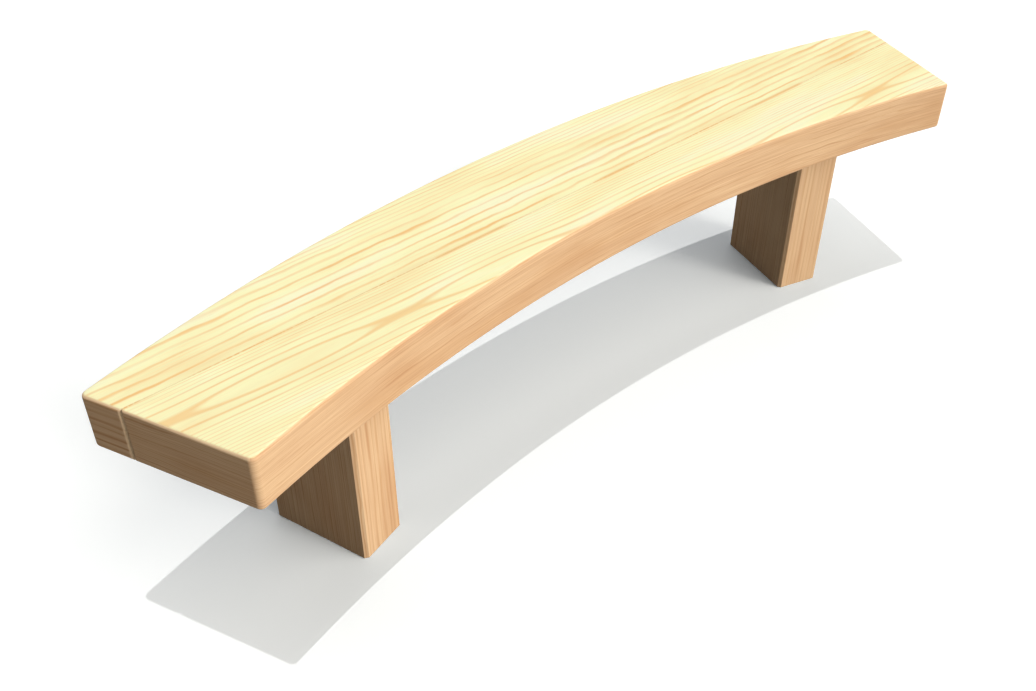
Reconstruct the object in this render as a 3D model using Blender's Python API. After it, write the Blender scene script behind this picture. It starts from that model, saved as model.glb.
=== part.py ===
"""Curved garden bench: a seat of two thick timbers on two block legs.

The timbers meet edge to edge along a straight seam, and the pair is sawn to one arc, so the outer
plank is wide in the middle and narrow at its ends, and the inner plank is the other way round.
Hardwood dowels join the planks. Under the seam stands a block leg near each end. Two steel rods run
up through each leg, one into a threaded insert in each plank, and a nut in a recess under the foot
draws each one tight. Two dowels on a diagonal of the leg's top keep it from turning.

X runs along the bench, +Y points to its outer, convex side, and the ground is at Z = 0. The seam is
the line Y = 0. Lengths are in metres.
"""

import math

import bmesh
import bpy
from mathutils import Vector

# Seat
SEAT_LENGTH = 1.920
SEAT_HEIGHT = 0.450
SEAT_DEPTH = 0.304
OUTER_RADIUS = 3.395
TIMBER_THICKNESS = 0.100
END_CUT = math.radians(22.0)
EDGE_ROUND = 0.006
CORNER_ROUND = 0.011

# Legs
LEG_INSET = 0.346
LEG_SETBACK = 0.050
LEG_THICKNESS = 0.100
LEG_TURN = math.radians(16.6)
LEG_ROUND = 0.006

# Wooden dowels
SEAM_DOWEL_DIAMETER = 0.020
SEAM_DOWEL_FROM_LEG = 0.200
LEG_DOWEL_DIAMETER = 0.016
LEG_DOWEL_DEPTH = 0.040
DOWEL_CHAMFER = 0.0015

# Steel rods and what holds them
ROD_DIAMETER = 0.012
ROD_TAIL = 0.006
ROD_CHAMFER = 0.001
ROD_HOLE_CLEARANCE = 0.001
INSERT_LENGTH = 0.030
INSERT_WALL = 0.003
INSERT_FLANGE_WIDTH = 0.003
INSERT_FLANGE_THICKNESS = 0.002
WASHER_DIAMETER = 0.036
WASHER_THICKNESS = 0.003
NUT_ACROSS_FLATS = 0.018
NUT_HEIGHT = 0.010
NUT_CHAMFER_ANGLE = math.radians(30)
SOCKET_CLEARANCE = 0.002
FOOT_CLEARANCE = 0.012

# Fits
FIT = 0.0003
HOLE_RELIEF = 0.002
OVERRUN = 0.010
SAME_PLACE = 0.000001

# Places and reaches, as shares of the piece that carries them
SEAM_DOWEL_REACH_SHARE = 0.65
ROD_PLACE_SHARE = 0.49
LEG_DOWEL_PLACE_SHARE = 0.76
LEG_DOWEL_ASIDE_SHARE = 0.50
NUT_FACE_SHARE = 0.95

# Facets
ARC_STEPS = 24
ROUND_STEPS = 3
CORNER_STEPS = 4
TURN_STEPS = 24
HEX_STEPS = 6
SMOOTH_ANGLE = math.radians(40)

# Which way along X each leg lies, and which way along Y each plank
SIDES = {"left": -1, "right": 1}
PLANKS = {"outer": 1, "inner": -1}

# What follows from the sizes above
INNER_RADIUS = OUTER_RADIUS - SEAT_DEPTH
LEG_X = SEAT_LENGTH / 2 - LEG_INSET
LEG_DEPTH = SEAT_DEPTH - 2 * LEG_SETBACK
SEAT_UNDERSIDE = SEAT_HEIGHT - TIMBER_THICKNESS
LEG_TOP = SEAT_UNDERSIDE - FIT
ROD_PLACE = ROD_PLACE_SHARE * LEG_DEPTH / 2
LEG_DOWEL_PLACE = LEG_DOWEL_PLACE_SHARE * LEG_DEPTH / 2
LEG_DOWEL_ASIDE = LEG_DOWEL_ASIDE_SHARE * LEG_THICKNESS / 2
SOCKET_DEPTH = FOOT_CLEARANCE + ROD_TAIL + NUT_HEIGHT + WASHER_THICKNESS + 2 * FIT
WASHER_BOTTOM = SOCKET_DEPTH - FIT - WASHER_THICKNESS
NUT_BOTTOM = WASHER_BOTTOM - FIT - NUT_HEIGHT
ROD_BOTTOM = NUT_BOTTOM - ROD_TAIL
INSERT_BORE_RADIUS = ROD_DIAMETER / 2 + FIT
INSERT_RADIUS = INSERT_BORE_RADIUS + INSERT_WALL
INSERT_FLANGE_RADIUS = INSERT_RADIUS + INSERT_FLANGE_WIDTH


def clear_scene():
    """Remove whatever the file holds."""
    for thing in list(bpy.data.objects):
        bpy.data.objects.remove(thing, do_unlink=True)


# Materials


def finish(name, colour, roughness, metallic=0.0):
    """A plain finish of one colour."""
    made = bpy.data.materials.new(name)
    made.use_nodes = True
    shader = made.node_tree.nodes["Principled BSDF"]
    shader.inputs["Base Color"].default_value = (*colour, 1.0)
    shader.inputs["Roughness"].default_value = roughness
    shader.inputs["Metallic"].default_value = metallic
    return made


def oiled_softwood():
    """Pale yellow softwood of the seat."""
    return finish("oiled_softwood", (0.87, 0.62, 0.36), 0.55)


def leg_softwood():
    """The legs' softwood, a little browner than the seat."""
    return finish("leg_softwood", (0.72, 0.48, 0.27), 0.60)


def beech():
    """Pale hardwood of the dowels."""
    return finish("beech", (0.72, 0.50, 0.32), 0.60)


def zinc_plated_steel():
    """Bright plated steel of the rods, nuts and washers."""
    return finish("zinc_plated_steel", (0.62, 0.63, 0.65), 0.35, 1.0)


def cast_zinc():
    """Dull cast alloy of the threaded inserts."""
    return finish("cast_zinc", (0.50, 0.48, 0.42), 0.50, 1.0)


# Outlines


def arc_centre_y():
    """Y of the seat's centre of curvature, so that the seam runs over the middle of both legs."""
    outer_at_leg = math.sqrt(OUTER_RADIUS**2 - LEG_X**2)
    inner_at_leg = math.sqrt(INNER_RADIUS**2 - LEG_X**2)
    return -(outer_at_leg + inner_at_leg) / 2


ARC_CENTRE = Vector((0, arc_centre_y()))


def arc_point(radius, angle):
    """A point of an arc about the seat's centre of curvature, at an angle from the bench's middle."""
    return ARC_CENTRE + Vector((radius * math.sin(angle), radius * math.cos(angle)))


def end_corner(radius):
    """Where the right-hand end cut crosses the arc of a radius."""
    outermost = arc_point(OUTER_RADIUS, math.asin(SEAT_LENGTH / 2 / OUTER_RADIUS))
    along_cut = Vector((math.sin(END_CUT), math.cos(END_CUT)))
    spoke = outermost - ARC_CENTRE
    ahead = spoke.dot(along_cut)
    travel = ahead - math.sqrt(ahead**2 - spoke.length_squared + radius**2)
    return outermost - along_cut * travel


def seam_end(seam_y):
    """Where the right-hand end cut crosses a line parallel to the seam."""
    outermost = end_corner(OUTER_RADIUS)
    return Vector((outermost.x - (outermost.y - seam_y) * math.tan(END_CUT), seam_y))


def rounded_corner(before, corner, after, radius, steps):
    """The points of the fillet that takes the place of one corner of an outline."""
    back = (before - corner).normalized()
    ahead = (after - corner).normalized()
    half_angle = back.angle(ahead) / 2
    reach = radius / math.tan(half_angle)
    centre = corner + (back + ahead).normalized() * (radius / math.sin(half_angle))
    first = (corner + back * reach - centre).normalized()
    last = (corner + ahead * reach - centre).normalized()
    return [centre + first.slerp(last, step / steps) * radius for step in range(steps + 1)]


def plank_outline(radius, seam_y):
    """A plank seen from above: a straight seam edge, two slanting ends and one curved edge."""
    corner = end_corner(radius)
    widest = math.atan2(corner.x, corner.y - ARC_CENTRE.y)
    arc = [arc_point(radius, widest * (1 - step / ARC_STEPS)) for step in range(1, ARC_STEPS + 1)]
    seam = seam_end(seam_y)
    right_half = [seam, *rounded_corner(seam, corner, arc[0], CORNER_ROUND, CORNER_STEPS), *arc]
    return right_half + [Vector((-point.x, point.y)) for point in reversed(right_half[:-1])]


def leg_outline():
    """A leg seen from above: a rectangle with eased corners."""
    corners = [
        Vector((x * LEG_THICKNESS / 2, y * LEG_DEPTH / 2))
        for x, y in ((-1, -1), (1, -1), (1, 1), (-1, 1))
    ]
    outline = []
    for place, corner in enumerate(corners):
        after = corners[(place + 1) % len(corners)]
        outline += rounded_corner(corners[place - 1], corner, after, LEG_ROUND, ROUND_STEPS)
    return outline


# Shaping


def new_object(name, mesh, material=None, carrier=None):
    """An object in the scene that holds a mesh, with a finish and a parent if they are given."""
    made = bpy.data.objects.new(name, mesh)
    bpy.context.scene.collection.objects.link(made)
    if material and not mesh.materials:
        mesh.materials.append(material)
    made.parent = carrier
    return made


def mesh_of(name, shape):
    """A finished mesh, facing outwards and shaded smooth round its curves."""
    bmesh.ops.recalc_face_normals(shape, faces=shape.faces)
    mesh = bpy.data.meshes.new(name)
    shape.to_mesh(mesh)
    shape.free()
    mesh.shade_smooth()
    mesh.set_sharp_from_angle(angle=SMOOTH_ANGLE)
    return mesh


def extruded(outline, bottom, top):
    """An outline drawn upwards from one height to another."""
    shape = bmesh.new()
    base = shape.faces.new([shape.verts.new((point.x, point.y, bottom)) for point in outline])
    grown = bmesh.ops.extrude_face_region(shape, geom=[base])
    risen = [item for item in grown["geom"] if isinstance(item, bmesh.types.BMVert)]
    bmesh.ops.translate(shape, verts=risen, vec=(0, 0, top - bottom))
    return shape


def turned(name, profile, steps=TURN_STEPS):
    """A body turned about Z. The profile is a closed loop of radius and height, and a point of no
    radius lies on the axis."""
    shape = bmesh.new()
    rings = []
    for radius, height in profile:
        turns = steps if radius > 0 else 1
        angles = [2 * math.pi * turn / steps for turn in range(turns)]
        places = [(radius * math.cos(a), radius * math.sin(a), height) for a in angles]
        rings.append([shape.verts.new(place) for place in places])
    for lower, upper in zip(rings, rings[1:] + rings[:1]):
        for turn in range(steps):
            around = [lower[turn % len(lower)], lower[(turn + 1) % len(lower)]]
            around += [upper[(turn + 1) % len(upper)], upper[turn % len(upper)]]
            distinct = list(dict.fromkeys(around))
            if len(distinct) > 2:
                shape.faces.new(distinct)
    return mesh_of(name, shape)


def peg_profile(radius, bottom, top, chamfer):
    """A solid peg with chamfered ends."""
    return [
        (0, bottom),
        (radius - chamfer, bottom),
        (radius, bottom + chamfer),
        (radius, top - chamfer),
        (radius - chamfer, top),
        (0, top),
    ]


def hole_profile(radius, bottom, top):
    """A plain round hole."""
    return [(0, bottom), (radius, bottom), (radius, top), (0, top)]


def stepped_hole_profile(wide_radius, step_height, narrow_radius, bottom, top):
    """A hole that is wide below a step and narrow above it."""
    return [
        (0, bottom),
        (wide_radius, bottom),
        (wide_radius, step_height),
        (narrow_radius, step_height),
        (narrow_radius, top),
        (0, top),
    ]


def sleeve_profile(bore_radius, radius, bottom, top):
    """A plain ring."""
    return [(bore_radius, bottom), (radius, bottom), (radius, top), (bore_radius, top)]


def place(piece, x, y, z=0):
    """Put a piece at a place in its carrier's frame."""
    piece.location = (x, y, z)
    return piece


def lay_along_y(piece):
    """Turn a piece made upright so that its axis runs along Y."""
    piece.rotation_euler = (-math.pi / 2, 0, 0)
    return piece


def holes_in(piece):
    """The collection of cutters that one Boolean takes out of a piece."""
    cutters = bpy.data.collections.new(piece.name + "_holes")
    bpy.context.scene.collection.children.link(cutters)
    cut = piece.modifiers.new("holes", "BOOLEAN")
    cut.operation = "DIFFERENCE"
    cut.solver = "EXACT"
    cut.operand_type = "COLLECTION"
    cut.collection = cutters
    return cutters


def cutter(name, profile, cutters, carrier=None):
    """A turned cutter, never shown, in a collection of holes."""
    made = bpy.data.objects.new(name, turned(name, profile))
    cutters.objects.link(made)
    made.parent = carrier
    made.hide_render = True
    made.display_type = "WIRE"
    return made


# Pieces


def plank(name, radius, seam_y, material):
    """One seat plank, rounded along every edge but the two long ones that close the seam."""
    shape = extruded(plank_outline(radius, seam_y), SEAT_UNDERSIDE, SEAT_HEIGHT)
    eased = []
    for edge in shape.edges:
        first, last = (vert.co for vert in edge.verts)
        upright = abs(first.z - last.z) > SAME_PLACE
        on_seam = max(abs(first.y - seam_y), abs(last.y - seam_y)) < SAME_PLACE
        if upright == on_seam:
            eased.append(edge)
    bmesh.ops.bevel(
        shape,
        geom=eased,
        offset=EDGE_ROUND,
        offset_type="OFFSET",
        affect="EDGES",
        segments=ROUND_STEPS,
        profile=0.5,
    )
    return new_object(name, mesh_of(name, shape), material)


def leg_carrier(side):
    """The empty that stands where a leg stands and turns with it."""
    carrier = new_object(side + "_leg_place", None)
    place(carrier, SIDES[side] * LEG_X, 0)
    carrier.rotation_euler = (0, 0, -SIDES[side] * LEG_TURN)
    return carrier


def leg(side, carrier, material):
    """A block leg, eased down its four upright edges and square at the foot."""
    shape = extruded(leg_outline(), 0, LEG_TOP)
    return new_object("leg_" + side, mesh_of("leg_" + side, shape), material, carrier)


def seam_dowel_reach():
    """How far each seam dowel enters either plank, from the inner plank's least width."""
    narrowest = -(ARC_CENTRE.y + INNER_RADIUS)
    return SEAM_DOWEL_REACH_SHARE * narrowest


def seam_dowels(material, outer_holes, inner_holes):
    """The dowels between the planks, one in the middle and one to either side of each leg."""
    reach = seam_dowel_reach()
    radius = SEAM_DOWEL_DIAMETER / 2
    mesh = turned("seam_dowel", peg_profile(radius, -reach, reach, DOWEL_CHAMFER))
    hole = hole_profile(radius + FIT, -reach - FIT, reach + FIT)
    height = SEAT_HEIGHT - TIMBER_THICKNESS / 2
    offsets = [-LEG_X - SEAM_DOWEL_FROM_LEG, -LEG_X + SEAM_DOWEL_FROM_LEG, 0]
    offsets += [LEG_X - SEAM_DOWEL_FROM_LEG, LEG_X + SEAM_DOWEL_FROM_LEG]
    for number, x in enumerate(offsets, start=1):
        name = f"seam_dowel_{number}"
        lay_along_y(place(new_object(name, mesh, material), x, 0, height))
        for holes in (outer_holes, inner_holes):
            lay_along_y(place(cutter(name + "_hole", hole, holes), x, 0, height))


def leg_dowel_mesh():
    """A dowel that stands half in the leg's top and half in the plank above it."""
    bottom = LEG_TOP - LEG_DOWEL_DEPTH
    top = SEAT_UNDERSIDE + LEG_DOWEL_DEPTH
    return turned("leg_dowel", peg_profile(LEG_DOWEL_DIAMETER / 2, bottom, top, DOWEL_CHAMFER))


def rod_mesh():
    """A steel rod from below its nut to the top of its insert."""
    top = SEAT_UNDERSIDE + INSERT_LENGTH
    return turned("rod", peg_profile(ROD_DIAMETER / 2, ROD_BOTTOM, top, ROD_CHAMFER))


def insert_mesh():
    """A threaded insert: a barrel with a flange that lies flush with the plank's underside."""
    flange_top = SEAT_UNDERSIDE + INSERT_FLANGE_THICKNESS
    barrel_top = SEAT_UNDERSIDE + INSERT_LENGTH
    profile = [
        (INSERT_BORE_RADIUS, SEAT_UNDERSIDE),
        (INSERT_FLANGE_RADIUS, SEAT_UNDERSIDE),
        (INSERT_FLANGE_RADIUS, flange_top),
        (INSERT_RADIUS, flange_top),
        (INSERT_RADIUS, barrel_top),
        (INSERT_BORE_RADIUS, barrel_top),
    ]
    return turned("insert", profile)


def washer_mesh():
    """A wide washer against the roof of the recess in the foot."""
    profile = sleeve_profile(
        ROD_DIAMETER / 2 + FIT,
        WASHER_DIAMETER / 2,
        WASHER_BOTTOM,
        WASHER_BOTTOM + WASHER_THICKNESS,
    )
    return turned("washer", profile)


def nut_mesh():
    """A hexagon nut: a six-sided bar, chamfered at both ends and bored through."""
    flat_radius = NUT_ACROSS_FLATS / 2
    corner_radius = flat_radius / math.cos(math.pi / HEX_STEPS)
    top = NUT_BOTTOM + NUT_HEIGHT
    bar = new_object("nut_bar", turned("nut", hole_profile(corner_radius, NUT_BOTTOM, top), HEX_STEPS))
    face_radius = NUT_FACE_SHARE * flat_radius
    barrel_radius = corner_radius + FIT
    slope = (barrel_radius - face_radius) * math.tan(NUT_CHAMFER_ANGLE)
    barrel = [
        (0, NUT_BOTTOM),
        (face_radius, NUT_BOTTOM),
        (barrel_radius, NUT_BOTTOM + slope),
        (barrel_radius, top - slope),
        (face_radius, top),
        (0, top),
    ]
    bore = hole_profile(ROD_DIAMETER / 2 + FIT, NUT_BOTTOM - OVERRUN, top + OVERRUN)
    helpers = [bar]
    for name, profile, operation in (("chamfers", barrel, "INTERSECT"), ("bore", bore, "DIFFERENCE")):
        helper = new_object("nut_" + name, turned(name, profile))
        helpers.append(helper)
        cut = bar.modifiers.new(name, "BOOLEAN")
        cut.operation = operation
        cut.solver = "EXACT"
        cut.object = helper
    bpy.context.view_layer.update()
    whole = bar.evaluated_get(bpy.context.evaluated_depsgraph_get())
    mesh = bpy.data.meshes.new_from_object(whole)
    for helper in helpers:
        bpy.data.objects.remove(helper, do_unlink=True)
    return mesh


def leg_fixings(carriers, leg_holes, plank_holes, metal, alloy, wood):
    """Each leg's rods, inserts, washers, nuts and dowels, and the holes that they need."""
    meshes = {"rod": rod_mesh(), "insert": insert_mesh(), "washer": washer_mesh()}
    meshes.update(nut=nut_mesh(), dowel=leg_dowel_mesh())
    finishes = {"rod": metal, "insert": alloy, "washer": metal, "nut": metal, "dowel": wood}
    rod_hole = stepped_hole_profile(
        WASHER_DIAMETER / 2 + SOCKET_CLEARANCE,
        SOCKET_DEPTH,
        ROD_DIAMETER / 2 + ROD_HOLE_CLEARANCE,
        -OVERRUN,
        LEG_TOP + OVERRUN,
    )
    insert_hole = stepped_hole_profile(
        INSERT_FLANGE_RADIUS + FIT,
        SEAT_UNDERSIDE + INSERT_FLANGE_THICKNESS + FIT,
        INSERT_RADIUS + FIT,
        SEAT_UNDERSIDE - OVERRUN,
        SEAT_UNDERSIDE + INSERT_LENGTH + HOLE_RELIEF,
    )
    dowel_radius = LEG_DOWEL_DIAMETER / 2 + FIT
    dowel_hole = hole_profile(
        dowel_radius, LEG_TOP - LEG_DOWEL_DEPTH - FIT, SEAT_UNDERSIDE + LEG_DOWEL_DEPTH + FIT
    )
    for side, carrier in carriers.items():
        for plank_name, sign in PLANKS.items():
            tail = f"_{side}_{plank_name}"
            rod_place = (0, sign * ROD_PLACE)
            dowel_place = (SIDES[side] * sign * LEG_DOWEL_ASIDE, sign * LEG_DOWEL_PLACE)
            for kind, mesh in meshes.items():
                name = ("leg_dowel" if kind == "dowel" else kind) + tail
                where = dowel_place if kind == "dowel" else rod_place
                place(new_object(name, mesh, finishes[kind], carrier), *where)
            place(cutter("rod_hole" + tail, rod_hole, leg_holes[side], carrier), *rod_place)
            plank_cutters = plank_holes[plank_name]
            place(cutter("insert_hole" + tail, insert_hole, plank_cutters, carrier), *rod_place)
            for holes in (leg_holes[side], plank_cutters):
                place(cutter("dowel_hole" + tail, dowel_hole, holes, carrier), *dowel_place)


def build():
    clear_scene()
    seat_wood = oiled_softwood()
    leg_wood = leg_softwood()
    dowel_wood = beech()
    outer_plank = plank("seat_outer_plank", OUTER_RADIUS, FIT / 2, seat_wood)
    inner_plank = plank("seat_inner_plank", INNER_RADIUS, -FIT / 2, seat_wood)
    plank_holes = {"outer": holes_in(outer_plank), "inner": holes_in(inner_plank)}
    seam_dowels(dowel_wood, plank_holes["outer"], plank_holes["inner"])
    carriers = {side: leg_carrier(side) for side in SIDES}
    leg_holes = {side: holes_in(leg(side, where, leg_wood)) for side, where in carriers.items()}
    leg_fixings(carriers, leg_holes, plank_holes, zinc_plated_steel(), cast_zinc(), dowel_wood)


build()
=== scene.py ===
"""Curved garden bench: its planed timber, its fixings and a plain studio, made round the frame.

The seat is two softwood planks, edge to edge along a straight seam and sawn to one arc. The outer
plank's growth rings lean, so its top shows straight lines. The inner plank is flat sawn, so its top
shows long arches. What faces up is painted paler, as painted light from above. Each leg is one block
with upright grain, drawn up against the seat by two threaded rods, whose nuts sit in recesses under
the foot.

X runs along the bench, +Y points to its outer side, and the ground is at Z = 0. Lengths are in metres.
"""

import math

import bmesh
import bpy
from bpy.props import FloatProperty, FloatVectorProperty, IntProperty, PointerProperty
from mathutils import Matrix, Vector


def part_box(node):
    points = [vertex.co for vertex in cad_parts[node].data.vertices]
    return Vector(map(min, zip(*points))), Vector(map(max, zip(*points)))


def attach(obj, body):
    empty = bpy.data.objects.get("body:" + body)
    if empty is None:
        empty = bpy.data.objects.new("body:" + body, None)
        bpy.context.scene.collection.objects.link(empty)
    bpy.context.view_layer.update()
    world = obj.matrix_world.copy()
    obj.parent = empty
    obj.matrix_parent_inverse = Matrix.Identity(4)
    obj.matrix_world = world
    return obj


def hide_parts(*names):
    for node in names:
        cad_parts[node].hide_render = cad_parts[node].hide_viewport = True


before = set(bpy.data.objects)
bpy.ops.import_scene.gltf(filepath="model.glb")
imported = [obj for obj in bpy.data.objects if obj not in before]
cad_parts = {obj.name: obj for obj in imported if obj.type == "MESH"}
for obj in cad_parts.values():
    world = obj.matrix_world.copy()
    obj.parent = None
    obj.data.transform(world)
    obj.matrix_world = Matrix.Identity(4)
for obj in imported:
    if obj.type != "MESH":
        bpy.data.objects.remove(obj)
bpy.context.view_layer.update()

bl_info = {
    "name": "Curved Garden Bench",
    "version": (1, 0, 0),
    "blender": (4, 5, 0),
    "location": "3D View > Sidebar > Bench",
    "description": "Makes a curved garden bench with its timber, its fixings and a plain studio",
    "category": "Add Mesh",
}

# What the frame holds
BODY = "root"
SIDES = {"left": -1, "right": 1}
PLANKS = {"outer": 1, "inner": -1}
SEAM_DOWELS = sorted(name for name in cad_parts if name.startswith("seam_dowel"))
SEAT_UNDERSIDE, SEAT_TOP = (corner.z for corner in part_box("seat_outer_plank"))

# Fits and facets
FIT = 0.0003
OVERRUN = 0.010
FOOT_COVER = 0.003
SAME_PLACE = 0.000001
ARC_STEPS = 96
CORNER_STEPS = 10
ROUND_STEPS = 6
TURN_STEPS = 48
THREAD_STEPS = 24
HEX_STEPS = 6
SMOOTH_ANGLE = math.radians(35)
NUT_FACE_SHARE = 0.95
ALONG_Y = (-math.pi / 2, 0, 0)

# Colours of the beech dowels and of what dulls the metal
BEECH_EARLY = (0.78, 0.56, 0.37)
BEECH_LATE = (0.62, 0.40, 0.24)
BEECH_FLECK = (0.40, 0.22, 0.12)
CLOUDED_METAL = (0.72, 0.71, 0.68)
SAWDUST = (0.30, 0.26, 0.21)

# How many times a metre the marks of wood and metal come, along the grain and across it
FINE_STREAKS = (9, 380, 380)
BROAD_STREAKS = (4, 210, 210)
DARK_FLECKS = (28, 650, 650)
HAZE = (3.5, 12, 12)
WIDE_PATCHES = (3, 9, 9)
METAL_CLOUDS = (140, 140, 140)
METAL_PITS = (1600, 1600, 1600)

# Where a ring's late wood begins, is full, fades and ends, as shares of one year's growth
LATE_WOOD_SHARES = (0.58, 0.73, 0.77, 0.97)
WIDE_RING_BEGINS = 0.15

# How far from the seam each of its marks starts to fade and ends:
# the painted shade in the gap, the resin and the painted highlight
SEAM_GAP_SHADE = (0.0006, 0.0026)
SEAM_RESIN = (0.001, 0.0065)
SEAM_HIGHLIGHT = (0.003, 0.0065)

# How squarely a face looks endways, level or up into painted light, where it starts to count and counts in
# full
END_FACE = (0.60, 0.95)
LEVEL_FACE = (0.80, 0.97)
SUNLIT_FACE = (0.75, 0.995)

# Where a thread's root and crest begin and end, as shares of its pitch
THREAD_SHARES = (0, 0.25, 0.5625, 0.6875)


# Settings


def length_property(name, description, default):
    """A length that a user can change."""
    return FloatProperty(name=name, description=description, default=default, unit="LENGTH")


def angle_property(name, description, degrees):
    """An angle that a user can change."""
    return FloatProperty(name=name, description=description, default=math.radians(degrees), unit="ROTATION")


def level_property(name, description, default):
    """A strength that a user can change."""
    return FloatProperty(name=name, description=description, default=default, min=0)


def colour_property(name, description, default):
    """A colour that a user can change."""
    return FloatVectorProperty(
        name=name, description=description, default=default, size=3, subtype="COLOR", min=0, max=1
    )


def place_property(name, description, default):
    """A point that a user can move."""
    return FloatVectorProperty(
        name=name, description=description, default=default, size=3, subtype="TRANSLATION", unit="LENGTH"
    )


class BenchSeatSettings(bpy.types.PropertyGroup):
    """Sizes of the seat"""

    length: length_property("Length", "Overall length before the corners are rounded", 1.920)
    depth: length_property("Depth", "From the inner arc to the outer arc", 0.304)
    outer_radius: length_property("Outer Radius", "Radius of the seat's convex side", 3.395)
    end_cut: angle_property("End Cut", "How far each end turns from square to the seam", 22.0)
    edge_round: length_property("Edge Round", "Radius along the seat's edges", 0.006)
    corner_round: length_property("Corner Round", "Radius of the seat's four corners", 0.011)


class BenchLegSettings(bpy.types.PropertyGroup):
    """Sizes of the legs and of the room that they leave for their fixings"""

    thickness: length_property("Thickness", "Width of a leg's narrow face", 0.100)
    depth: length_property("Depth", "Width of a leg's broad face", 0.204)
    turn: angle_property("Turn", "How far each leg turns to face the seat's centre of curvature", 16.6)
    edge_chamfer: length_property("Edge Chamfer", "Chamfer down a leg's upright edges", 0.006)
    foot_easing: length_property("Foot Easing", "Chamfer round the foot", 0.001)
    socket_clearance: length_property("Socket Clearance", "Room round the washer in its recess", 0.002)
    rod_clearance: length_property("Rod Clearance", "Room round the rod in its hole", 0.001)


class BenchFixingSettings(bpy.types.PropertyGroup):
    """Sizes of the rods, nuts, washers, inserts and dowels"""

    pitch: length_property("Pitch", "Advance of the rod's thread in one turn", 0.00175)
    thread_depth: length_property("Thread Depth", "Depth of the rod's thread", 0.00107)
    thread_clearance: length_property("Thread Clearance", "Room between rod and nut threads", 0.00015)
    end_chamfer: length_property("End Chamfer", "Chamfer on a rod's sawn ends", 0.001)
    across_flats: length_property("Across Flats", "Spanner size of the nuts", 0.018)
    nut_chamfer: angle_property("Nut Chamfer", "Slope of the nuts' chamfers", 30.0)
    washer_round: length_property("Washer Round", "Rolled edge of a punched washer", 0.0006)
    insert_pitch: length_property("Insert Pitch", "Pitch of an insert's wood thread", 0.004)
    insert_thread: length_property("Insert Thread", "Depth of an insert's wood thread", 0.0012)
    insert_flange: length_property("Insert Flange", "Thickness of an insert's flange", 0.002)
    insert_flange_width: length_property("Flange Width", "How far the flange stands out", 0.003)
    dowel_flutes: IntProperty(name="Dowel Flutes", description="Grooves round a dowel", default=20, min=3)
    flute_depth: length_property("Flute Depth", "Depth of a dowel's glue grooves", 0.0004)
    dowel_chamfer: length_property("Dowel Chamfer", "Chamfer on a dowel's ends", 0.0015)


class BenchTimberSettings(bpy.types.PropertyGroup):
    """Colours of the softwood and how far apart its rings are"""

    early: colour_property("Early Wood", "Pale wood between the rings, out of the sun", (0.782, 0.520, 0.298))
    late: colour_property("Late Wood", "The rings themselves, out of the sun", (0.600, 0.314, 0.143))
    # Painted light: faces turned up take the next two colours in place of the two above, as if lit from
    # above.
    bleached_early: colour_property("Bleached Early", "Pale wood bleached by the sun", (0.958, 0.926, 0.550))
    bleached_late: colour_property("Bleached Late", "Rings bleached by the sun", (0.890, 0.532, 0.208))
    # Painted highlight: a paler warm colour on the rounded edges beside the seam and over each end.
    arris: colour_property("Arris", "Wood along the worn upper edges", (0.960, 0.700, 0.430))
    thrown: colour_property("Thrown Light", "Colour that wood lends to what is near it", (0.32, 0.32, 0.32))
    outer_spacing: length_property("Outer Spacing", "Between rings on the outer plank's top", 0.0203)
    outer_side_spacing: length_property("Outer Side Spacing", "Between rings on its sides", 0.014)
    inner_spacing: length_property("Inner Spacing", "Between rings on the inner plank's top", 0.013)
    inner_side_spacing: length_property("Inner Side Spacing", "Between rings on its sides", 0.0047)
    leg_spacing: length_property("Leg Spacing", "Between rings on the legs' narrow faces", 0.011)
    leg_broad_spacing: length_property("Leg Broad Spacing", "Between rings on their broad faces", 0.0045)
    roughness: FloatProperty(
        name="Roughness", description="How matt the oiled timber is", default=0.68, min=0, max=1
    )


class BenchMetalSettings(bpy.types.PropertyGroup):
    """Colours of the metals"""

    zinc: colour_property("Zinc Plate", "Bright plating on steel", (0.62, 0.63, 0.65))
    alloy: colour_property("Cast Zinc", "Dull alloy of the inserts", (0.50, 0.48, 0.42))


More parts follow.
